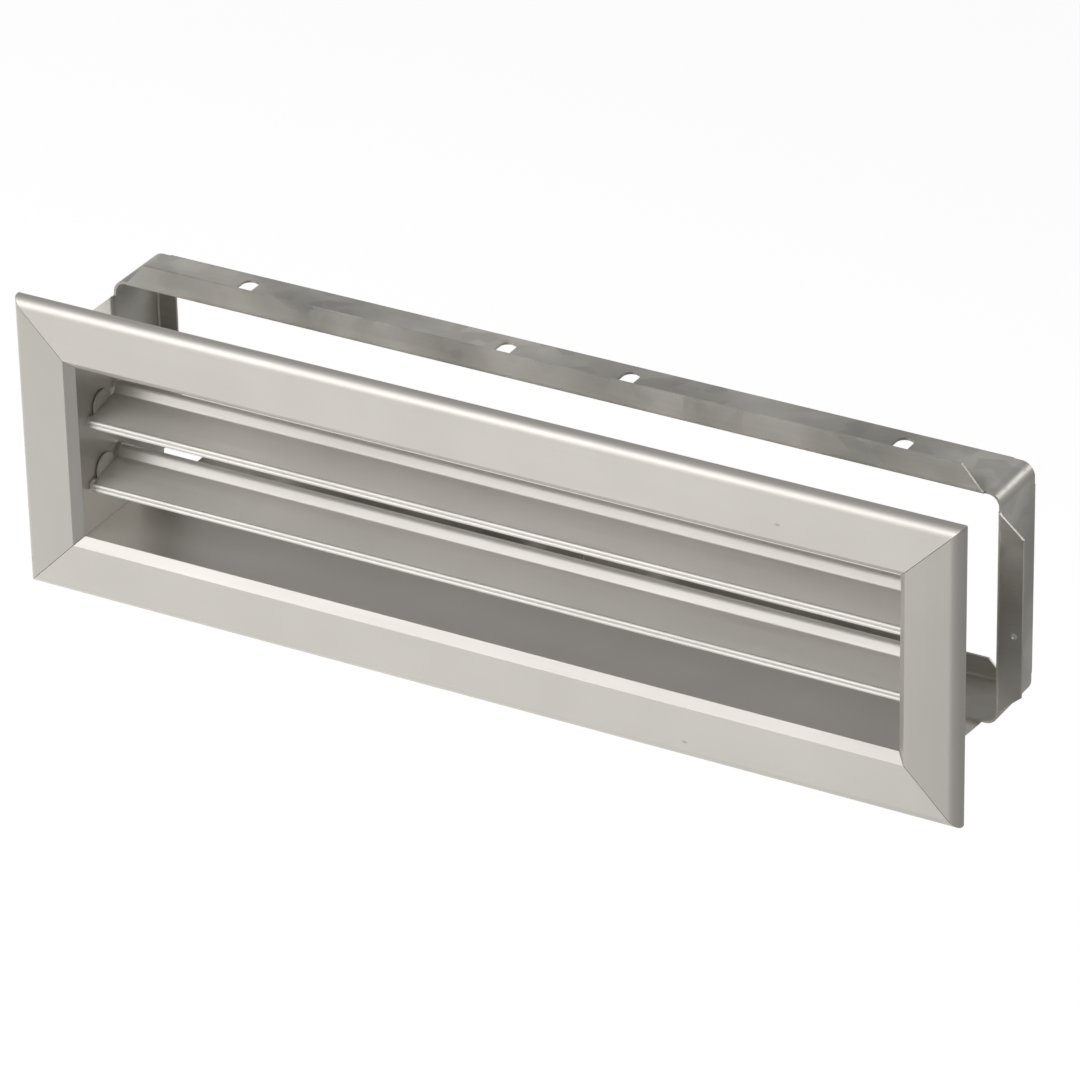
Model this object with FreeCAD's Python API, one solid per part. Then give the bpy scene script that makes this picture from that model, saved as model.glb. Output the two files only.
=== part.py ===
import FreeCAD, Part
import math
import os

os.makedirs("parts", exist_ok=True)

# Ventilation grille with two turning blades, drawn forward out of its subframe.
# Sizes are in millimetres. X runs along the grille, Y goes into the wall, Z is up.
# The origin is the centre of the wall opening, on the wall's surface.

# Face frame, mitred from one extruded section
faceLength = 325.0
faceHeight = 100.0
flatBorder = 17.75      # outer edge to the start of the inner bevel
bevelSize = 2.8         # 45 degree bevel that leads into the neck
bevelWall = 1.4
edgeRadius = 3.5        # rounded outer edge
edgeDepth = 4.5         # face to the rear of the outer lip
faceWall = 1.5
neckWall = 1.3
neckDepth = 36.0        # face to the rear of the neck
mitreGap = 0.06         # hairline seam between two mitred ends

# Hooked channel behind the face, for the corner keys and the spring clips
ribFromEdge = 9.0
ribWall = 1.0
channelDepth = 1.7
hookWall = 1.0
hookReach = 1.0
slideGap = 0.15         # play of whatever is pushed into the channel

# Corner keys
keyLeg = 28.0
keyLeadIn = 1.2

# Foam seal between the outer lip and the channel
sealSideGap = 0.2
sealInset = 0.3         # the seal stops this far inside the lip's rear

# Spring clips that hold the neck in the subframe
clipSheet = 0.6
clipWidth = 12.0
clipFootLength = 24.0
clipStandOff = 1.0      # hook's mouth to the leaf
clipBase = 6.0          # face to the start of the bowed leaf
clipCrown = 17.0        # face to the leaf's crown
clipBend = 0.9
clipCrownRadius = 4.0
clipFromCentre = 95.0
crownGap = 0.3          # crown to the inner face of the subframe

# Subframe, bent from one strip of sheet
sheet = 0.8
frontFlange = 8.0
flangeInset = 0.5       # flange edge to the end of the face frame
springRoom = 8.25       # neck to the outside of the subframe, above and below
webDepth = 24.7         # wall surface to the rear of the subframe
sheetBend = 0.8         # inner radius of the long bends
cornerBend = 4.5        # outer radius of the four upright corners
cornerRelief = 5.5      # corner to the end of a flange
flangeChamfer = 7.0
neckPlay = 0.6          # neck to the rear flange at the ends and below
topRearFlange = 3.0     # narrow, so that a screw can be driven through the upper slots
rearRelief = 7.0        # corner to the end of a rear flange, which is chamfered from there

# Fixing slots in the upper and lower web, and a nail hole in each end flange
slotWidth = 5.5
slotLength = 14.0
slotDepthCentre = 13.0
slotInner = 21.5        # centre of the part to the inner slots
slotOuter = 114.0
nailHoleRadius = 1.1
nailHoleFromWeb = 5.5
nailHoleDrop = 6.2      # below the middle of the end flange

# Splice over the strip's butt joint, in the middle of the lower web
buttGap = 0.4
spliceLength = 34.0
spliceWidth = 17.0
rivetRadius = 1.6
rivetPlay = 0.05
rivetSpan = 18.0
rivetHeadRadius = 3.1
rivetHeadHeight = 0.9
rivetTailRadius = 2.4
rivetTailHeight = 1.0

# Position of the grille: drawn forward from where it closes on the subframe
seatGap = 0.3
drawOut = 37.5

# Blades
bladeWall = 1.2
bladePitch = 22.2
pivotDepth = 15.5       # face to the pivot axes
lipAhead = 8.2          # front lip, ahead of the pivot
lipBelow = 1.75         # top of the lip, below the pivot
lipHeight = 2.7
beadRadius = 0.65
rampAngle = 12.5
rampLength = 14.6
browAngle = 60.0
browLength = 2.4
kinkRadius = 0.8
noseRadius = 2.0
tailDrop = 3.6          # top of the nose to its rear edge

# Pivot caps on the blade ends, and their bushes in the stiles
capRadius = 4.85
capThick = 0.6
capWallGap = 0.3
tongueWidth = 4.2
tongueThick = 1.5
tongueLength = 12.0
tonguePlay = 0.1
tongueHookWall = 0.8
tongueHookReach = 0.8
pinRadius = 1.5
pinPlay = 0.05
pinBeyondBush = 0.5
bushRadius = 2.5
bushPlay = 0.05
bushFlangeRadius = 3.75
bushFlangeThick = 0.8

# Places that follow from the sizes above
halfLength = faceLength / 2
halfHeight = faceHeight / 2
neckInner = flatBorder + bevelSize
neckOuter = neckInner - neckWall
channelStart = ribFromEdge + ribWall
channelEnd = flatBorder + faceWall - bevelWall * math.sqrt(2)
channelBack = faceWall + channelDepth
hookBack = channelBack + hookWall
closedFaceY = -(sheet + seatGap + edgeDepth)
faceY = closedFaceY - drawOut
webHalfLength = halfLength - flangeInset - frontFlange
webHalfHeight = halfHeight - neckOuter + springRoom
rearFlange = webHalfHeight - (halfHeight - neckOuter) - neckPlay
neckInnerEnd = halfLength - neckInner
bladeHalf = neckInnerEnd - capWallGap - capThick
pivotY = faceY + pivotDepth
rampCos = math.cos(math.radians(rampAngle))
rampSin = math.sin(math.radians(rampAngle))
tongueStart = lipAhead * rampCos + lipBelow * rampSin - tongueWidth / 2 - tonguePlay
tongueEnd = tongueStart + tongueWidth + 2 * tonguePlay


def point(x, y, z):
    return FreeCAD.Vector(x, y, z)


def heading(start, end):
    run = math.hypot(end[0] - start[0], end[1] - start[1])
    return (end[0] - start[0]) / run, (end[1] - start[1]) / run


# Face inside an outline of (u, v, radius) corners; place turns (u, v) into a point in space.
def rounded_face(corners, place):
    edges = []
    stretches = []
    for i, (u, v, radius) in enumerate(corners):
        if radius < 1e-6:
            stretches.append(((u, v), None, (u, v)))
            continue
        back = heading((u, v), corners[i - 1])
        ahead = heading((u, v), corners[(i + 1) % len(corners)])
        half = math.acos(back[0] * ahead[0] + back[1] * ahead[1]) / 2
        reach = radius / math.tan(half)
        middle = heading((0, 0), (back[0] + ahead[0], back[1] + ahead[1]))
        inset = radius / math.sin(half) - radius
        entry = (u + back[0] * reach, v + back[1] * reach)
        crest = (u + middle[0] * inset, v + middle[1] * inset)
        leave = (u + ahead[0] * reach, v + ahead[1] * reach)
        stretches.append((entry, crest, leave))
    for i, (entry, crest, leave) in enumerate(stretches):
        last = stretches[i - 1][2]
        if math.hypot(entry[0] - last[0], entry[1] - last[1]) > 1e-4:
            edges.append(Part.makeLine(place(*last), place(*entry)))
        if crest:
            edges.append(Part.Arc(place(*entry), place(*crest), place(*leave)).toShape())
    return Part.Face(Part.Wire(Part.__sortEdges__(edges)))


# Corners of a bent sheet whose one face follows path. The sheet lies to the left of the
# walk along the path where side is 1, and to the right where it is -1.
def bent_sheet(path, thick, side):
    far = []
    for i, (u, v, radius) in enumerate(path):
        into = heading(path[max(i - 1, 0)], path[max(i, 1)])
        out = heading(path[min(i, len(path) - 2)], path[min(i + 1, len(path) - 1)])
        share = thick * side / (1 + into[0] * out[0] + into[1] * out[1])
        inside = (into[0] * out[1] - into[1] * out[0]) * side > 0
        far_radius = max(radius - thick, 0) if inside else radius + thick
        if radius < 1e-6:
            far_radius = 0
        far.append((u - (into[1] + out[1]) * share, v + (into[0] + out[0]) * share, far_radius))
    return list(path) + far[::-1]


def box_between(low, high):
    size = high.sub(low)
    return Part.makeBox(size.x, size.y, size.z, low)


def turned(shape, degrees):
    copy = shape.copy()
    copy.rotate(point(0, 0, 0), point(0, 1, 0), degrees)
    return copy


def save(name, shape):
    shape.exportStep("parts/" + name + ".step")


# Extruded section of the face frame, from the outer lip round to the neck and the channel.
def frame_section():
    slope_top = channelEnd + channelDepth
    return [
        (0, edgeDepth, 0),
        (0, 0, edgeRadius),
        (flatBorder, 0, 0),
        (neckInner, bevelSize, 0),
        (neckInner, neckDepth, 0),
        (neckOuter, neckDepth, 0),
        (neckOuter, hookBack, 0),
        (channelEnd - hookReach, hookBack, 0),
        (channelEnd - hookReach, channelBack, 0),
        (slope_top, channelBack, 0),
        (channelEnd, faceWall, 0),
        (channelStart, faceWall, 0),
        (channelStart, channelBack, 0),
        (channelStart + hookReach, channelBack, 0),
        (channelStart + hookReach, hookBack, 0),
        (ribFromEdge, hookBack, 0),
        (ribFromEdge, faceWall, 0),
        (faceWall, faceWall, edgeRadius - faceWall),
        (faceWall, edgeDepth, 0),
    ]


# One member of the face frame, lying along X with its outer edge up.
def frame_member(length, outer_edge):
    def place(from_edge, depth):
        return point(-length / 2, faceY + depth, outer_edge - from_edge)

    bar = rounded_face(frame_section(), place).extrude(point(length, 0, 0))
    seam = mitreGap / math.sqrt(2)
    deep = neckInner + 1
    corners = [
        (-length / 2 - 1 + seam, outer_edge + 1, 0),
        (length / 2 + 1 - seam, outer_edge + 1, 0),
        (length / 2 - deep - seam, outer_edge - deep, 0),
        (-length / 2 + deep + seam, outer_edge - deep, 0),
    ]
    wedge = rounded_face(corners, lambda x, z: point(x, faceY - 1, z))
    return bar.common(wedge.extrude(point(0, neckDepth + 2, 0)))


def long_rail():
    return frame_member(faceLength, halfHeight)


# Upright member, still lying along X, with the holes for the blade bushes.
def stile():
    bar = frame_member(faceHeight, halfLength)
    for x in (-bladePitch / 2, bladePitch / 2):
        start = point(x, pivotY, neckInnerEnd - 1)
        hole = Part.makeCylinder(bushRadius + bushPlay, neckWall + 2, start)
        bar = bar.cut(hole)
    return bar


# Flat L plate for the upper right corner, seated on the back of the face.
def corner_key():
    x = halfLength - channelStart - slideGap
    z = halfHeight - channelStart - slideGap
    width = channelEnd - channelStart - 2 * slideGap
    corners = [
        (x, z, 0),
        (x - keyLeg + keyLeadIn, z, 0),
        (x - keyLeg, z - keyLeadIn, 0),
        (x - keyLeg, z - width + keyLeadIn, 0),
        (x - keyLeg + keyLeadIn, z - width, 0),
        (x - width, z - width, 0),
        (x - width, z - keyLeg + keyLeadIn, 0),
        (x - width + keyLeadIn, z - keyLeg, 0),
        (x - keyLeadIn, z - keyLeg, 0),
        (x, z - keyLeg + keyLeadIn, 0),
    ]
    plate = rounded_face(corners, lambda u, v: point(u, faceY + faceWall, v))
    return plate.extrude(point(0, channelDepth - slideGap, 0))


# Foam strips on the back of the face: the long ones run through, the short ones butt against them.
def save_seals():
    outer = edgeRadius + sealSideGap
    inner = ribFromEdge - sealSideGap
    front = faceY + faceWall
    rear = faceY + edgeDepth - sealInset
    top = box_between(point(outer - halfLength, front, halfHeight - inner),
                      point(halfLength - outer, rear, halfHeight - outer))
    right = box_between(point(halfLength - inner, front, inner - halfHeight),
                        point(halfLength - outer, rear, halfHeight - inner))
    save("face_seal_top", top)
    save("face_seal_bottom", turned(top, 180))
    save("face_seal_right", right)
    save("face_seal_left", turned(right, 180))


# Upper clip, centred on X = 0: a foot under both hooks and a leaf bowed towards the subframe.
def spring_clip():
    leaf_side = channelEnd - hookReach - clipStandOff
    crown_at = halfHeight - (webHalfHeight - sheet - crownGap)
    rise = clipCrown - clipBase
    slant = math.atan((leaf_side - crown_at) / rise)
    crown = crown_at - clipCrownRadius * (1 / math.cos(slant) - 1)
    path = [
        (channelStart + slideGap, faceWall + clipSheet, 0),
        (leaf_side, faceWall + clipSheet, clipBend - clipSheet),
        (leaf_side, clipBase, clipBend),
        (crown, clipCrown, clipCrownRadius),
        (leaf_side, clipCrown + rise, 0),
    ]

    def place(from_edge, depth):
        return point(-clipWidth / 2, faceY + depth, halfHeight - from_edge)

    leaf = rounded_face(bent_sheet(path, clipSheet, -1), place).extrude(point(clipWidth, 0, 0))
    foot_low = point(-clipFootLength / 2, faceY + faceWall, halfHeight - channelEnd + slideGap)
    foot_high = point(clipFootLength / 2, faceY + faceWall + clipSheet,
                      halfHeight - channelStart - slideGap)
    notch = box_between(point(-clipWidth / 2 - clipSheet, faceY, foot_low.z - 1),
                        point(clipWidth / 2 + clipSheet, faceY + channelBack,
                              halfHeight - leaf_side + clipBend))
    ears = box_between(foot_low, foot_high).cut(notch)
    return ears.fuse(leaf).removeSplitter()


# Nylon bush pushed into the right stile from outside; the bore carries a blade's pin.
def pivot_bush():
    inner = neckInnerEnd
    outer = inner + neckWall
    profile = [
        (inner, pinRadius + pinPlay, 0),
        (inner, bushRadius, 0),
        (outer, bushRadius, 0),
        (outer, bushFlangeRadius, 0),
        (outer + bushFlangeThick, bushFlangeRadius, 0),
        (outer + bushFlangeThick, pinRadius + pinPlay, 0),
    ]
    face = rounded_face(profile, lambda x, r: point(x, pivotY, r))
    return face.revolve(point(0, pivotY, 0), point(1, 0, 0), 360)


# Point of the blade's section from its place along and above the ramp.
def on_ramp(along, above):
    y = pivotY - lipAhead + along * rampCos - above * rampSin
    z = -lipBelow + along * rampSin + above * rampCos
    return y, z


# Blade section: beaded front lip, ramp, steep brow and rounded nose with a turned-down edge.
# Two hooks under the ramp hold the tongues of the pivot caps.
def blade():
    brow = math.radians(browAngle)
    knee = on_ramp(rampLength, 0)
    tangent = noseRadius * math.tan(brow / 2)
    brow_y = knee[0] + (browLength + tangent) * math.cos(brow)
    top = knee[1] + (browLength + tangent) * math.sin(brow)
    rear = brow_y + tangent + noseRadius
    front = pivotY - lipAhead
    path = [
        (front, -lipBelow - lipHeight, 0),
        (front, -lipBelow, beadRadius),
        (knee[0], knee[1], kinkRadius),
        (brow_y, top, noseRadius),
        (rear, top, noseRadius),
        (rear, top - tailDrop, 0),
    ]

    def place(y, z):
        return point(-bladeHalf, y, z)

    along = point(2 * bladeHalf, 0, 0)
    shape = rounded_face(bent_sheet(path, bladeWall, -1), place).extrude(along)
    for z in (-lipBelow - beadRadius, -lipBelow - lipHeight + beadRadius):
        start = point(-bladeHalf, front + beadRadius / 3, z)
        shape = shape.fuse(Part.makeCylinder(beadRadius, 2 * bladeHalf, start, point(1, 0, 0)))
    mouth = -bladeWall - tongueThick - tonguePlay
    for edge, inward in ((tongueStart, 1), (tongueEnd, -1)):
        hook = [
            on_ramp(edge - inward * tongueHookWall, -bladeWall / 2),
            on_ramp(edge - inward * tongueHookWall, mouth - tongueHookWall),
            on_ramp(edge + inward * tongueHookReach, mouth - tongueHookWall),
            on_ramp(edge + inward * tongueHookReach, mouth),
            on_ramp(edge, mouth),
            on_ramp(edge, -bladeWall / 2),
        ]
        corners = [(y, z, 0) for y, z in hook]
        shape = shape.fuse(rounded_face(corners, place).extrude(along))
    return shape.removeSplitter()


# Right-hand pivot cap: a disc against the blade's end, a pin outwards and a tongue inwards.
def pivot_cap():
    axis = point(1, 0, 0)
    pin_end = neckInnerEnd + neckWall + bushFlangeThick + pinBeyondBush
    disc = Part.makeCylinder(capRadius, capThick, point(bladeHalf, pivotY, 0), axis)
    pin_start = bladeHalf + capThick / 2
    pin = Part.makeCylinder(pinRadius, pin_end - pin_start, point(pin_start, pivotY, 0), axis)
    pin = pin.makeChamfer(pinRadius / 4, [e for e in pin.Edges if e.BoundBox.XMin > pin_end - 1e-3])
    corners = [
        on_ramp(tongueStart + tonguePlay, -bladeWall),
        on_ramp(tongueEnd - tonguePlay, -bladeWall),
        on_ramp(tongueEnd - tonguePlay, -bladeWall - tongueThick),
        on_ramp(tongueStart + tonguePlay, -bladeWall - tongueThick),
    ]
    end = bladeHalf + capThick / 2
    start = bladeHalf - tongueLength
    face = rounded_face([(y, z, 0) for y, z in corners], lambda y, z: point(start, y, z))
    tongue = face.extrude(point(end - start, 0, 0))
    return disc.fuse([pin, tongue]).removeSplitter()


# One side of the subframe, lying along X with its web up: front flange, web and rear flange,
# the flange ends cut back at the corners.
def subframe_side(half_span, web_at, rear_width):
    root = half_span - cornerRelief
    rear_root = half_span - rearRelief
    path = [
        (frontFlange, 0, 0),
        (0, 0, sheetBend),
        (0, webDepth, sheetBend + sheet),
        (-rear_width, webDepth, 0),
    ]

    def place(outward, depth):
        return point(-root, depth, web_at + outward)

    side = rounded_face(bent_sheet(path, sheet, 1), place).extrude(point(2 * root, 0, 0))
    rear_bend = webDepth - sheetBend - sheet
    for hand in (-1, 1):
        front = [
            (hand * (root - flangeChamfer), web_at + frontFlange, 0),
            (hand * (root + 1), web_at + frontFlange + 1, 0),
            (hand * (root + 1), web_at, 0),
            (hand * root, web_at, 0),
        ]
        rear = [
            (hand * (rear_root - rear_width - 1), web_at - rear_width - 1, 0),
            (hand * (rear_root + 1), web_at + 1, 0),
            (hand * (half_span + 2), web_at + 1, 0),
            (hand * (half_span + 2), web_at - rear_width - 1, 0),
        ]
        for corners, start, depth in ((front, -sheet - 1, 2 * sheet + 1),
                                      (rear, rear_bend, webDepth - rear_bend + 1)):
            face = rounded_face(corners, lambda x, z: point(x, start, z))
            side = side.cut(face.extrude(point(0, depth, 0)))
    return side


# Ring of the web alone, with the four bent corners, between the two long bends.
def web_ring():
    start = sheetBend
    depth = webDepth - 2 * sheetBend - sheet

    def prism(half_x, half_z, radius):
        corners = [
            (-half_x, -half_z, radius),
            (half_x, -half_z, radius),
            (half_x, half_z, radius),
            (-half_x, half_z, radius),
        ]
        face = rounded_face(corners, lambda x, z: point(x, start, z))
        return face.extrude(point(0, depth, 0))

    outside = prism(webHalfLength, webHalfHeight, cornerBend)
    inside = prism(webHalfLength - sheet, webHalfHeight - sheet, cornerBend - sheet)
    return outside.cut(inside)


# Slot through the upper and lower web, long in the depth of the subframe.
def fixing_slot(x):
    half_width = slotWidth / 2
    half_depth = slotLength / 2
    corners = [
        (x - half_width, slotDepthCentre - half_depth, half_width * 0.999),
        (x + half_width, slotDepthCentre - half_depth, half_width * 0.999),
        (x + half_width, slotDepthCentre + half_depth, half_width * 0.999),
        (x - half_width, slotDepthCentre + half_depth, half_width * 0.999),
    ]
    face = rounded_face(corners, lambda u, v: point(u, v, -webHalfHeight - 1))
    return face.extrude(point(0, 0, 2 * webHalfHeight + 2))


def rivet_hole(x):
    start = point(x, webDepth / 2, -webHalfHeight - 1)
    return Part.makeCylinder(rivetRadius + rivetPlay, 2 + 2 * sheet, start)


def subframe_strip():
    strip = web_ring()
    upper_side = subframe_side(webHalfLength, webHalfHeight, topRearFlange)
    lower_side = subframe_side(webHalfLength, webHalfHeight, rearFlange)
    short_side = subframe_side(webHalfHeight, webHalfLength, rearFlange)
    strip = strip.fuse([upper_side, turned(lower_side, 180), turned(short_side, 90),
                        turned(short_side, -90)])
    strip = strip.removeSplitter()
    for x in (-slotOuter, -slotInner, slotInner, slotOuter):
        strip = strip.cut(fixing_slot(x))
    for x in (-webHalfLength - nailHoleFromWeb, webHalfLength + nailHoleFromWeb):
        start = point(x, -sheet - 1, -nailHoleDrop)
        strip = strip.cut(Part.makeCylinder(nailHoleRadius, sheet + 2, start, point(0, 1, 0)))
    for x in (-rivetSpan / 2, rivetSpan / 2):
        strip = strip.cut(rivet_hole(x))
    butt = box_between(point(-buttGap / 2, -sheet - 1, -webHalfHeight - frontFlange - 1),
                       point(buttGap / 2, webDepth + 1, -webHalfHeight + rearFlange + 1))
    return strip.cut(butt)


# Plate on the inner face of the lower web, across the butt joint.
def splice_plate():
    floor = -webHalfHeight + sheet
    front = (webDepth - spliceWidth) / 2
    plate = box_between(point(-spliceLength / 2, front, floor),
                        point(spliceLength / 2, front + spliceWidth, floor + sheet))
    for x in (-rivetSpan / 2, rivetSpan / 2):
        plate = plate.cut(rivet_hole(x))
    return plate


# Two blind rivets, one on each side of the joint: low head on the plate, upset tail outside.
def splice_rivets():
    rivets = []
    head = -webHalfHeight + 2 * sheet
    tail = -webHalfHeight
    middle = webDepth / 2
    for x in (-rivetSpan / 2, rivetSpan / 2):
        profile = [
            (0, tail - rivetTailHeight, 0),
            (rivetTailRadius, tail - rivetTailHeight, 0),
            (rivetTailRadius, tail, 0),
            (rivetRadius, tail, 0),
            (rivetRadius, head, 0),
            (rivetHeadRadius, head, 0),
            (rivetRadius, head + rivetHeadHeight, 0),
            (0, head + rivetHeadHeight, 0),
        ]
        face = rounded_face(profile, lambda r, z: point(x + r, middle, z))
        rivets.append(face.revolve(point(x, middle, 0), point(0, 0, 1), 360))
    return Part.makeCompound(rivets)


# Face frame: the rails and stiles are the same section, turned about Y.
def save_frame():
    save("top_rail", long_rail())
    save("bottom_rail", turned(long_rail(), 180))
    save("right_stile", turned(stile(), 90))
    save("left_stile", turned(stile(), -90))
    key = corner_key()
    middle_x = point(1, 0, 0)
    middle_z = point(0, 0, 1)
    centre = point(0, 0, 0)
    save("corner_key_top_right", key)
    save("corner_key_top_left", key.mirror(centre, middle_x))
    save("corner_key_bottom_right", key.mirror(centre, middle_z))
    save("corner_key_bottom_left", key.mirror(centre, middle_x).mirror(centre, middle_z))
    save_seals()


def save_clips():
    for hand, x in (("left", -clipFromCentre), ("right", clipFromCentre)):
        upper = spring_clip().translated(point(x, 0, 0))
        save("spring_clip_top_" + hand, upper)
        lower = turned(spring_clip(), 180).translated(point(x, 0, 0))
        save("spring_clip_bottom_" + hand, lower)


def save_blades():
    for level, z in (("upper", bladePitch / 2), ("lower", -bladePitch / 2)):
        lift = point(0, 0, z)
        save("blade_" + level, blade().translated(lift))
        right_cap = pivot_cap()
        left_cap = right_cap.mirror(point(0, 0, 0), point(1, 0, 0))
        save("pivot_cap_" + level + "_right", right_cap.translated(lift))
        save("pivot_cap_" + level + "_left", left_cap.translated(lift))
        right_bush = pivot_bush()
        left_bush = right_bush.mirror(point(0, 0, 0), point(1, 0, 0))
        save("pivot_bush_" + level + "_right", right_bush.translated(lift))
        save("pivot_bush_" + level + "_left", left_bush.translated(lift))


def save_subframe():
    save("subframe_strip", subframe_strip())
    save("splice_plate", splice_plate())
    save("splice_rivets", splice_rivets())


save_subframe()
save_frame()
save_clips()
save_blades()
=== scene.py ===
import math

import bmesh
import bpy
from mathutils import Matrix, Vector


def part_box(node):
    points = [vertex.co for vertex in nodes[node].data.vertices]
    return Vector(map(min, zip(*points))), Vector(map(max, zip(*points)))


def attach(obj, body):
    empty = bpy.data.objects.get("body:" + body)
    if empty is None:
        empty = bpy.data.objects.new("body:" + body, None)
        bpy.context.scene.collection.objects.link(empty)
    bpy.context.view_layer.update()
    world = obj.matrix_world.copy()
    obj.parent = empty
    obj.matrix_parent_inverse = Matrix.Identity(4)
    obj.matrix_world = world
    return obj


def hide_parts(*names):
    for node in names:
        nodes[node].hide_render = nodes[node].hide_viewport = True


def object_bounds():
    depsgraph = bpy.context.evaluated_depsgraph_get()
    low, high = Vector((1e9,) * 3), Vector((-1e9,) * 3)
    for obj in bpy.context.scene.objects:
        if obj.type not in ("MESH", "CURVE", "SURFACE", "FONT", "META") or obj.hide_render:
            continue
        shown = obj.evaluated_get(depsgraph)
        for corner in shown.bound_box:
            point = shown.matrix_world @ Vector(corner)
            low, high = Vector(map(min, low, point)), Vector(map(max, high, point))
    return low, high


# Ventilation grille drawn out of its subframe. Metres, X along the grille, Y into the wall, Z up.
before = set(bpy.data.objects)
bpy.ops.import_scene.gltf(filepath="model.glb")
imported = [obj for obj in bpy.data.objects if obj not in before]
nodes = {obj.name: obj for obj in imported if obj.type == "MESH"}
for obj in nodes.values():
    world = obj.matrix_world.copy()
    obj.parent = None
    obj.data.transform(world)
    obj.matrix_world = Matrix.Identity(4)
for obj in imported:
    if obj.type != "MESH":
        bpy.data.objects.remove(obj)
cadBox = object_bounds()
print("frame loaded:", len(nodes), "nodes")

mm = 0.001

# What the finishes share
reliefHeight = 0.1 * mm  # of a bump at full strength
fineDetail = 3.0  # octaves of the noise in lines, streaks and grain
broadDetail = 2.0  # octaves of the noise in clouds and patches
noiseLow = 0.3  # most of a noise's values lie between these two
noiseHigh = 0.7

# The way the grain runs, a hair off the axes, so that a surface square to it still has a direction across
alongGrain = (1.0, 0.03, 0.02)
upGrain = (0.02, 0.03, 1.0)


def linear(hexColour):
    # sRGB hex to linear light: the low end is a straight line, the rest a power of 2.4
    channels = [int(hexColour[i:i + 2], 16) / 255 for i in (1, 3, 5)]
    return [c / 12.92 if c <= 0.04045 else ((c + 0.055) / 1.055) ** 2.4 for c in channels] + [1.0]


def addNode(tree, kind, settings=None, inputs=None, stops=None):
    # settings are the node's own properties, an input is a value or a socket to link from,
    # and stops are the (place, colour) ends of a colour ramp
    node = tree.nodes.new(kind)
    for name, value in (settings or {}).items():
        setattr(node, name, value)
    for name, value in (inputs or {}).items():
        socket = node.inputs[name]
        if isinstance(value, bpy.types.NodeSocket):
            tree.links.new(value, socket)
        else:
            socket.default_value = value
    if stops:
        for point, (place, colour) in zip(node.color_ramp.elements, stops):
            point.position = place
            point.color = colour
    return node


def newMaterial(name):
    material = bpy.data.materials.new(name)
    material.use_nodes = True
    tree = material.node_tree
    tree.nodes.clear()
    return material, tree


def alongLines(alongX, along, across):
    # one value for the way the lines run, X or Z, and another for the two ways across them
    return (along, across, across) if alongX else (across, across, along)


# Natural anodised aluminium, extruded: a satin sheen with faint die lines along each length
anodised = {
    "deep": "#C9C5BF",
    "light": "#D3CFC9",
    "roughness": (0.36, 0.45),
    "spread": 0.75,
    "dieLineWidth": 0.35 * mm,
    "dieLineLength": 60 * mm,
    "dieLineGrit": 0.6,
    "dieLineShare": 0.35,
    "cloudSize": 45 * mm,
    "bump": 0.02,
    "markSpacing": 60 * mm,
    "markWidth": 1.2 * mm,
    "markSqueeze": 0.5,
    "markColour": "#A09D98",
}

# the blades take a paler tone than the rails as painted light, for the light they catch, and are duller; the
# stiles take a deeper tone than the rails as painted shade, for how light falls across their grain
paintedLightBladeFinish = dict(anodised, deep="#D8D5D0", light="#E2DFDA", roughness=(0.42, 0.51))
paintedShadeStileFinish = dict(anodised, deep="#C1BDB7", light="#CBC7C1")


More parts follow.
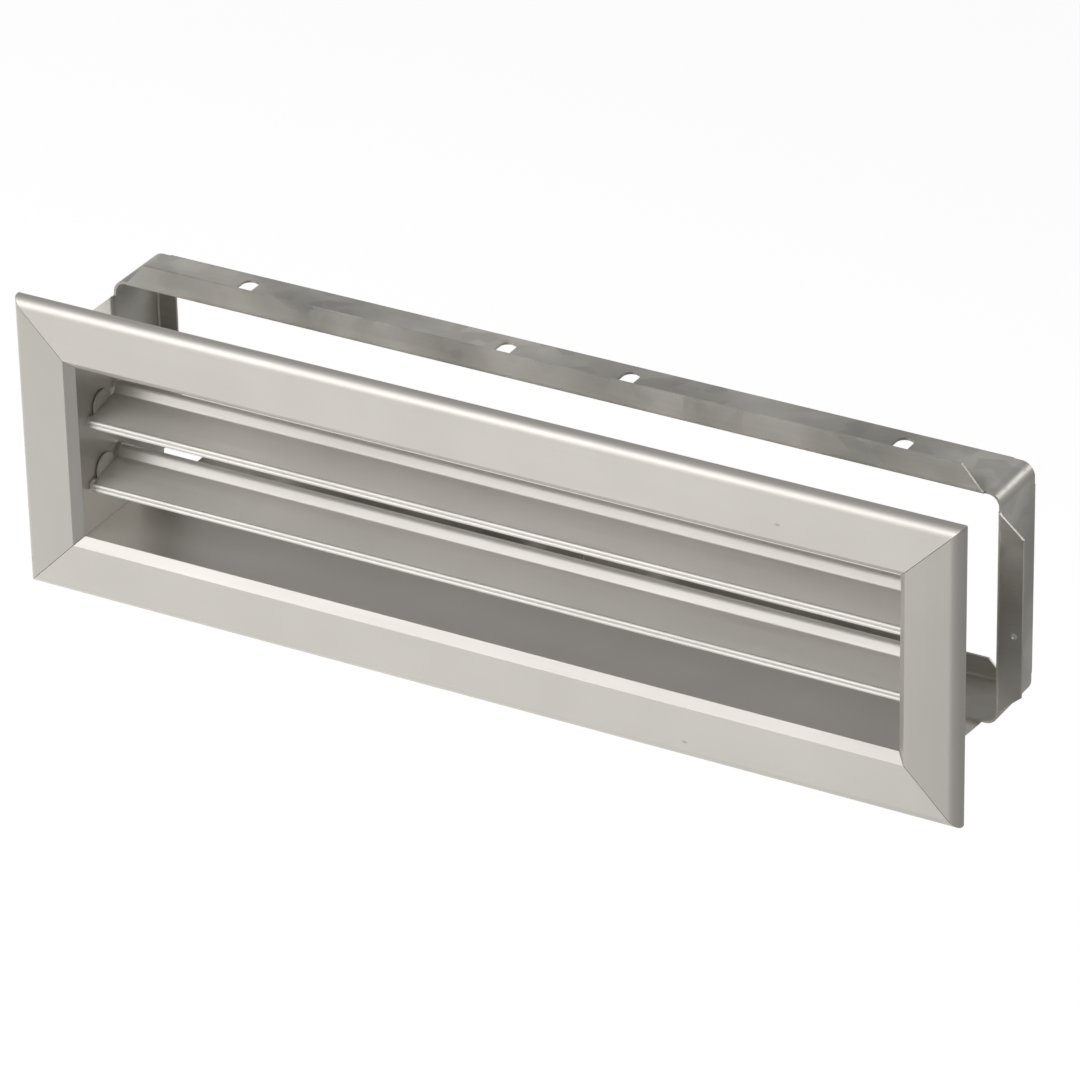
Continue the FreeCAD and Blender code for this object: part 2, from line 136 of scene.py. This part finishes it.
def extrudedAluminium(name, alongX, tone=anodised):
    # Extruded and etched before anodising: long fine lines, low contrast, and reflections
    # that spread across the lines, so a rail and a stile differ in brightness
    material, tree = newMaterial(name)
    place = addNode(tree, "ShaderNodeTexCoord").outputs["Object"]
    facing = addNode(tree, "ShaderNodeNewGeometry").outputs["Normal"]
    across = addNode(tree, "ShaderNodeVectorMath", {"operation": "CROSS_PRODUCT"}, {
        0: facing, 1: alongGrain if alongX else upGrain}).outputs["Vector"]
    # die lines over broad soft clouds
    stretched = addNode(tree, "ShaderNodeMapping", inputs={
        "Vector": place,
        "Scale": alongLines(alongX, 1 / tone["dieLineLength"], 1 / tone["dieLineWidth"])}).outputs["Vector"]
    lines = addNode(tree, "ShaderNodeTexNoise", inputs={
        "Vector": stretched, "Scale": 1.0, "Detail": fineDetail,
        "Roughness": tone["dieLineGrit"]}).outputs["Fac"]
    clouds = addNode(tree, "ShaderNodeTexNoise", inputs={
        "Vector": place, "Scale": 1 / tone["cloudSize"], "Detail": broadDetail}).outputs["Fac"]
    blend = addNode(tree, "ShaderNodeMix", {"data_type": "FLOAT"}, {
        0: tone["dieLineShare"], 2: clouds, 3: lines}).outputs[0]
    clean = addNode(tree, "ShaderNodeValToRGB", inputs={"Fac": blend}, stops=[
        (noiseLow, linear(tone["deep"])), (noiseHigh, linear(tone["light"]))]).outputs["Color"]
    # a few small marks from handling, each one longer along the lines than across them
    squeezed = addNode(tree, "ShaderNodeVectorMath", {"operation": "MULTIPLY"}, {
        0: place, 1: alongLines(alongX, tone["markSqueeze"], 1.0)}).outputs["Vector"]
    apart = addNode(tree, "ShaderNodeSeparateXYZ", inputs={"Vector": squeezed})
    flat = addNode(tree, "ShaderNodeCombineXYZ", inputs={
        "X": apart.outputs["X"], "Y": apart.outputs["Z"]}).outputs["Vector"]
    nearest = addNode(tree, "ShaderNodeTexVoronoi", {"voronoi_dimensions": "2D"}, {
        "Vector": flat, "Scale": 1 / tone["markSpacing"], "Randomness": 1.0}).outputs["Distance"]
    mark = addNode(tree, "ShaderNodeMapRange", inputs={
        "Value": nearest, "From Min": 0.0, "From Max": tone["markWidth"] / 2 / tone["markSpacing"],
        "To Min": 1.0, "To Max": 0.0}).outputs["Result"]
    colour = addNode(tree, "ShaderNodeMix", {"data_type": "RGBA"}, {
        0: mark, 6: clean, 7: linear(tone["markColour"])}).outputs[2]
    smoothest, dullest = tone["roughness"]
    dull = addNode(tree, "ShaderNodeMapRange", inputs={
        "Value": lines, "From Min": noiseLow, "From Max": noiseHigh,
        "To Min": smoothest, "To Max": dullest}).outputs["Result"]
    bump = addNode(tree, "ShaderNodeBump", inputs={
        "Height": lines, "Strength": tone["bump"], "Distance": reliefHeight}).outputs["Normal"]
    shader = addNode(tree, "ShaderNodeBsdfPrincipled", inputs={
        "Base Color": colour, "Metallic": 1.0, "Roughness": dull, "Normal": bump,
        "Anisotropic": tone["spread"], "Tangent": across})
    addNode(tree, "ShaderNodeOutputMaterial", inputs={"Surface": shader.outputs["BSDF"]})
    return material


# Galvanised sheet: dull grey with a faint spangle, rolling streaks and broad soft patches of painted shade
galvanised = {
    "deep": "#CAC7C0",
    "light": "#D6D3CC",
    "deepTo": 0.2,
    "lightFrom": 0.8,
    "roughness": (0.49, 0.60),
    "spread": 0.75,
    "spangleSize": 6 * mm,
    "streakWidth": 0.6 * mm,
    "streakLength": 90 * mm,
    "streakShare": 0.6,
    "bump": 0.03,
    "patchSize": 38 * mm,
    "patchShift": (-65 * mm, 45 * mm, -40 * mm),
    "patchFrom": 0.35,
    "patchTo": 0.65,
    "paintedShadeDepth": 0.32,
}


def galvanisedSheet(name):
    # Skin-passed zinc coat: crystals only just visible, softened by rolling
    material, tree = newMaterial(name)
    place = addNode(tree, "ShaderNodeTexCoord").outputs["Object"]
    facing = addNode(tree, "ShaderNodeNewGeometry").outputs["Normal"]
    across = addNode(tree, "ShaderNodeVectorMath", {"operation": "CROSS_PRODUCT"}, {
        0: facing, 1: alongGrain}).outputs["Vector"]
    # zinc crystals, each with its own grey, under streaks
    crystals = addNode(tree, "ShaderNodeTexVoronoi", {"feature": "F1"}, {
        "Vector": place, "Scale": 1 / galvanised["spangleSize"], "Randomness": 1.0})
    greys = addNode(tree, "ShaderNodeSeparateColor", inputs={
        "Color": crystals.outputs["Color"]}).outputs["Red"]
    stretched = addNode(tree, "ShaderNodeMapping", inputs={
        "Vector": place,
        "Scale": alongLines(
            True, 1 / galvanised["streakLength"], 1 / galvanised["streakWidth"])}).outputs["Vector"]
    streaks = addNode(tree, "ShaderNodeTexNoise", inputs={
        "Vector": stretched, "Scale": 1.0, "Detail": fineDetail}).outputs["Fac"]
    blend = addNode(tree, "ShaderNodeMix", {"data_type": "FLOAT"}, {
        0: galvanised["streakShare"], 2: greys, 3: streaks}).outputs[0]
    even = addNode(tree, "ShaderNodeValToRGB", inputs={"Fac": blend}, stops=[
        (galvanised["deepTo"], linear(galvanised["deep"])),
        (galvanised["lightFrom"], linear(galvanised["light"]))]).outputs["Color"]
    # broad soft patches of painted shade, darker in places along the sheet
    moved = addNode(tree, "ShaderNodeVectorMath", {"operation": "ADD"}, {
        0: place, 1: galvanised["patchShift"]}).outputs["Vector"]
    paintedShadePatches = addNode(tree, "ShaderNodeTexNoise", inputs={
        "Vector": moved, "Scale": 1 / galvanised["patchSize"], "Detail": broadDetail}).outputs["Fac"]
    shade = addNode(tree, "ShaderNodeMapRange", inputs={
        "Value": paintedShadePatches, "From Min": galvanised["patchFrom"], "From Max": galvanised["patchTo"],
        "To Min": 1 - galvanised["paintedShadeDepth"], "To Max": 1.0}).outputs["Result"]
    colour = addNode(tree, "ShaderNodeVectorMath", {"operation": "SCALE"}, {
        0: even, "Scale": shade}).outputs["Vector"]
    smoothest, dullest = galvanised["roughness"]
    dull = addNode(tree, "ShaderNodeMapRange", inputs={
        "Value": greys, "To Min": smoothest, "To Max": dullest}).outputs["Result"]
    bump = addNode(tree, "ShaderNodeBump", inputs={
        "Height": streaks, "Strength": galvanised["bump"], "Distance": reliefHeight}).outputs["Normal"]
    shader = addNode(tree, "ShaderNodeBsdfPrincipled", inputs={
        "Base Color": colour, "Metallic": 1.0, "Roughness": dull, "Normal": bump,
        "Anisotropic": galvanised["spread"], "Tangent": across})
    addNode(tree, "ShaderNodeOutputMaterial", inputs={"Surface": shader.outputs["BSDF"]})
    return material


# Small parts: one plain recipe, each with its own grain
smallPartBump = 0.06
smallParts = {
    # corner keys, pressed from strip: mid grey with a soft shine
    "stampedAluminium": {
        "deep": "#A3A29E", "light": "#B9B8B4", "metal": 1.0, "roughness": (0.33, 0.44), "grain": 0.8 * mm},
    # spring clips: dark from the furnace and smooth
    "hardenedSpringSteel": {
        "deep": "#4E4F52", "light": "#66676A", "metal": 1.0, "roughness": (0.25, 0.36), "grain": 1.2 * mm},
    # end caps and bushes: an even, half-dull grey
    "mouldedNylon": {
        "deep": "#A5A29B", "light": "#B3B0A9", "metal": 0.0, "roughness": (0.43, 0.54), "grain": 1.5 * mm},
    # seals: nearly black, with no shine
    "closedCellFoam": {
        "deep": "#1E1E1E", "light": "#343434", "metal": 0.0, "roughness": (0.80, 0.91), "grain": 0.5 * mm},
    # rivets: bright and close-grained
    "turnedRivetAluminium": {
        "deep": "#A9A8A4", "light": "#BFBEBA", "metal": 1.0, "roughness": (0.25, 0.36), "grain": 0.6 * mm},
}


def grainedMaterial(name):
    # Tone and dullness wander with one noise at the grain's real size
    tone = smallParts[name]
    material, tree = newMaterial(name)
    place = addNode(tree, "ShaderNodeTexCoord").outputs["Object"]
    grain = addNode(tree, "ShaderNodeTexNoise", inputs={
        "Vector": place, "Scale": 1 / tone["grain"], "Detail": fineDetail}).outputs["Fac"]
    colour = addNode(tree, "ShaderNodeValToRGB", inputs={"Fac": grain}, stops=[
        (noiseLow, linear(tone["deep"])), (noiseHigh, linear(tone["light"]))]).outputs["Color"]
    smoothest, dullest = tone["roughness"]
    dull = addNode(tree, "ShaderNodeMapRange", inputs={
        "Value": grain, "To Min": smoothest, "To Max": dullest}).outputs["Result"]
    bump = addNode(tree, "ShaderNodeBump", inputs={
        "Height": grain, "Strength": smallPartBump, "Distance": reliefHeight}).outputs["Normal"]
    shader = addNode(tree, "ShaderNodeBsdfPrincipled", inputs={
        "Base Color": colour, "Metallic": tone["metal"], "Roughness": dull, "Normal": bump})
    addNode(tree, "ShaderNodeOutputMaterial", inputs={"Surface": shader.outputs["BSDF"]})
    return material


def finishNodes():
    # each node takes the finish whose word is part of its name
    sheetMetal = galvanisedSheet("galvanisedSheet")
    small = {name: grainedMaterial(name) for name in smallParts}
    finishes = {
        "rail": extrudedAluminium("extrudedAluminiumRail", True),
        # the stile tone is painted shade and the blade tone painted light
        "stile": extrudedAluminium("extrudedAluminiumStile", False, paintedShadeStileFinish),
        "blade": extrudedAluminium("extrudedAluminiumBlade", True, paintedLightBladeFinish),
        "pivot": small["mouldedNylon"],
        "corner_key": small["stampedAluminium"],
        "face_seal": small["closedCellFoam"],
        "spring_clip": small["hardenedSpringSteel"],
        "subframe": sheetMetal,
        "splice_plate": sheetMetal,
        "splice_rivets": small["turnedRivetAluminium"],
    }
    for name, node in nodes.items():
        finish = next(metal for word, metal in finishes.items() if word in name)
        node.data.materials.clear()
        node.data.materials.append(finish)
    print("materials on", len(nodes), "nodes")


# Face frame and blades with their sharp edges broken, as deburred saw cuts have them
brokenEdge = {
    "width": 0.12 * mm,
    "segments": 2,
    "fromAngle": math.radians(35),
    "weld": 0.001 * mm,
    "flat": math.radians(0.3),
    "pieces": {
        "top_rail": ("grille", "frame_aluminium"),
        "bottom_rail": ("grille", "frame_aluminium"),
        "left_stile": ("grille", "frame_aluminium"),
        "right_stile": ("grille", "frame_aluminium"),
        "blade_upper": ("blade_upper_body", "blade_aluminium"),
        "blade_lower": ("blade_lower_body", "blade_aluminium"),
    },
}


def weldedCopy(name):
    # the node's facets welded and coplanar ones joined, smooth up to the angle at which an edge is broken
    mesh = nodes[name].data.copy()
    mesh.name = name + "_finished"
    if "custom_normal" in mesh.attributes:
        mesh.attributes.remove(mesh.attributes["custom_normal"])
    shape = bmesh.new()
    shape.from_mesh(mesh)
    bmesh.ops.remove_doubles(shape, verts=shape.verts, dist=brokenEdge["weld"])
    bmesh.ops.dissolve_limit(
        shape, angle_limit=brokenEdge["flat"], use_dissolve_boundaries=False,
        verts=shape.verts, edges=shape.edges)
    bmesh.ops.recalc_face_normals(shape, faces=shape.faces)
    shape.to_mesh(mesh)
    shape.free()
    mesh.shade_smooth()
    mesh.set_sharp_from_angle(angle=brokenEdge["fromAngle"])
    return mesh


def breakEdges():
    for name, (body, slotName) in brokenEdge["pieces"].items():
        piece = bpy.data.objects.new(name + "_finished", weldedCopy(name))
        bpy.context.scene.collection.objects.link(piece)
        edges = piece.modifiers.new("brokenEdges", "BEVEL")
        edges.width = brokenEdge["width"]
        edges.segments = brokenEdge["segments"]
        edges.limit_method = "ANGLE"
        edges.angle_limit = brokenEdge["fromAngle"]
        edges.harden_normals = True
        edges.use_clamp_overlap = False
        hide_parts(name)
        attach(piece, body)
    print("edges broken on", len(brokenEdge["pieces"]), "pieces")


# Pale floor well below the part, so that the openings show white and the shadow stays soft
floorLook = {
    "below": 350 * mm,
    "size": 30.0,
    "white": 0.86,
    "glow": 0.57,
    "mirroredFront": 0.40,
    "mirroredBack": 0.92,
    "frontTo": -0.20,
    "backFrom": 0.20,
    "fadeFrom": -0.25,
    "fadeTo": 0.30,
}


def paleFloor():
    low = cadBox[0].z - floorLook["below"]
    half = floorLook["size"] / 2
    mesh = bpy.data.meshes.new("floor")
    mesh.from_pydata(
        [(-half, -half, low), (half, -half, low), (half, half, low), (-half, half, low)], [], [(0, 1, 2, 3)])
    floor = bpy.data.objects.new("floor", mesh)
    bpy.context.scene.collection.objects.link(floor)
    material, tree = newMaterial("paleFloor")
    # the lit floor keeps the shadow, and a glow that only the camera, glass and metal see makes it white
    white = addNode(tree, "ShaderNodeBsdfDiffuse", inputs={"Color": (floorLook["white"],) * 3 + (1.0,)})
    path = addNode(tree, "ShaderNodeLightPath")
    shown = addNode(tree, "ShaderNodeMath", {"operation": "MAXIMUM"}, {
        0: path.outputs["Is Camera Ray"], 1: path.outputs["Is Transmission Ray"]})
    straight = addNode(tree, "ShaderNodeMath", {"operation": "MULTIPLY"}, {
        0: shown.outputs[0], 1: floorLook["glow"]})
    # what metal mirrors is brighter behind the part than before it, and fades away from the key light
    place = addNode(tree, "ShaderNodeTexCoord").outputs["Object"]
    apart = addNode(tree, "ShaderNodeSeparateXYZ", inputs={"Vector": place})
    depth = addNode(tree, "ShaderNodeMapRange", {"interpolation_type": "SMOOTHSTEP"}, {
        "Value": apart.outputs["Y"], "From Min": floorLook["frontTo"], "From Max": floorLook["backFrom"],
        "To Min": floorLook["mirroredFront"], "To Max": floorLook["mirroredBack"]})
    fade = addNode(tree, "ShaderNodeMapRange", {"interpolation_type": "SMOOTHSTEP"}, {
        "Value": apart.outputs["X"], "From Min": floorLook["fadeFrom"], "From Max": floorLook["fadeTo"],
        "To Min": depth.outputs["Result"], "To Max": 0.0})
    mirrored = addNode(tree, "ShaderNodeMath", {"operation": "MULTIPLY"}, {
        0: path.outputs["Is Glossy Ray"], 1: fade.outputs["Result"]})
    strength = addNode(tree, "ShaderNodeMath", {"operation": "MAXIMUM"}, {
        0: straight.outputs[0], 1: mirrored.outputs[0]})
    glow = addNode(tree, "ShaderNodeEmission", inputs={
        "Color": (1.0, 1.0, 1.0, 1.0), "Strength": strength.outputs[0]})
    both = addNode(tree, "ShaderNodeAddShader", inputs={0: white.outputs[0], 1: glow.outputs[0]})
    addNode(tree, "ShaderNodeOutputMaterial", inputs={"Surface": both.outputs[0]})
    mesh.materials.append(material)


# Surround: grey all round, dimmer overhead. Heights are parts of a unit direction
surround = {
    "low": (0.50, 0.50, 0.497, 1.0),
    "high": (0.36, 0.36, 0.36, 1.0),
    "dimFrom": 0.30,
    "dimTo": 0.60,
}


def dimSurround():
    world = bpy.data.worlds.new("surround")
    bpy.context.scene.world = world
    world.use_nodes = True
    tree = world.node_tree
    tree.nodes.clear()
    way = addNode(tree, "ShaderNodeTexCoord").outputs["Generated"]
    height = addNode(tree, "ShaderNodeSeparateXYZ", inputs={"Vector": way}).outputs["Z"]
    grey = addNode(tree, "ShaderNodeValToRGB", inputs={"Fac": height}, stops=[
        (surround["dimFrom"], surround["low"]), (surround["dimTo"], surround["high"])]).outputs["Color"]
    sky = addNode(tree, "ShaderNodeBackground", inputs={"Color": grey, "Strength": 1.0})
    addNode(tree, "ShaderNodeOutputWorld", inputs={"Surface": sky.outputs[0]})


# A large soft light at the upper left front, and a narrow faint one at the back right for the far edges
lights = {
    "keyLight": {
        "place": (-0.83, -1.30, 1.00), "aim": (0, -0.02, 0), "size": (1.6, 1.15), "power": 13.8,
        "spread": math.pi},
    "rimLight": {
        "place": (0.86, 1.15, 0.70), "aim": (0.15, 0.02, 0.04), "size": (0.6, 0.6), "power": 0.45,
        "spread": math.radians(50)},
}


def softLights():
    for name, setting in lights.items():
        lamp = bpy.data.lights.new(name, "AREA")
        lamp.energy = setting["power"]
        lamp.spread = setting["spread"]
        lamp.shape = "RECTANGLE"
        lamp.size, lamp.size_y = setting["size"]
        light = bpy.data.objects.new(name, lamp)
        bpy.context.scene.collection.objects.link(light)
        light.location = setting["place"]
        way = Vector(setting["aim"]) - Vector(setting["place"])
        light.rotation_euler = way.to_track_quat("-Z", "Y").to_euler()


# Camera fitted to the photograph: degrees, and distances in its pixels where the name says so
cameraFit = {
    "azimuth": 30.887,
    "elevation": 28.752,
    "roll": -1.575,
    "distance": 2006.1 * mm,
    "focalPixels": 6697.7,
    "aimLeftPixels": 67.7,
    "aimDownPixels": 18.6,
    "imagePixels": 1080,
    "sensor": 36.0,
    "farClip": 100.0,
}


def photoCamera():
    azimuth, elevation, roll = (math.radians(cameraFit[name]) for name in ("azimuth", "elevation", "roll"))
    # from the aim back to the camera, then the picture's right and up, turned by the roll
    back = Vector((
        math.sin(azimuth) * math.cos(elevation),
        -math.cos(azimuth) * math.cos(elevation),
        math.sin(elevation)))
    levelRight = Vector((math.cos(azimuth), math.sin(azimuth), 0))
    levelUp = back.cross(levelRight)
    right = math.cos(roll) * levelRight + math.sin(roll) * levelUp
    up = back.cross(right)
    aim = Vector((0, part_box("top_rail")[0].y, 0))
    data = bpy.data.cameras.new("camera")
    data.sensor_width = cameraFit["sensor"]
    data.lens = cameraFit["focalPixels"] * cameraFit["sensor"] / cameraFit["imagePixels"]
    data.shift_x = cameraFit["aimLeftPixels"] / cameraFit["imagePixels"]
    data.shift_y = cameraFit["aimDownPixels"] / cameraFit["imagePixels"]
    data.clip_end = cameraFit["farClip"]
    camera = bpy.data.objects.new("camera", data)
    bpy.context.scene.collection.objects.link(camera)
    turn = Matrix((right, up, back)).transposed().to_4x4()
    camera.matrix_world = Matrix.Translation(aim + back * cameraFit["distance"]) @ turn
    bpy.context.scene.camera = camera


finishNodes()
breakEdges()
paleFloor()
dimSurround()
softLights()
photoCamera()
bpy.context.scene.view_settings.view_transform = "Standard"
print("studio and camera set")
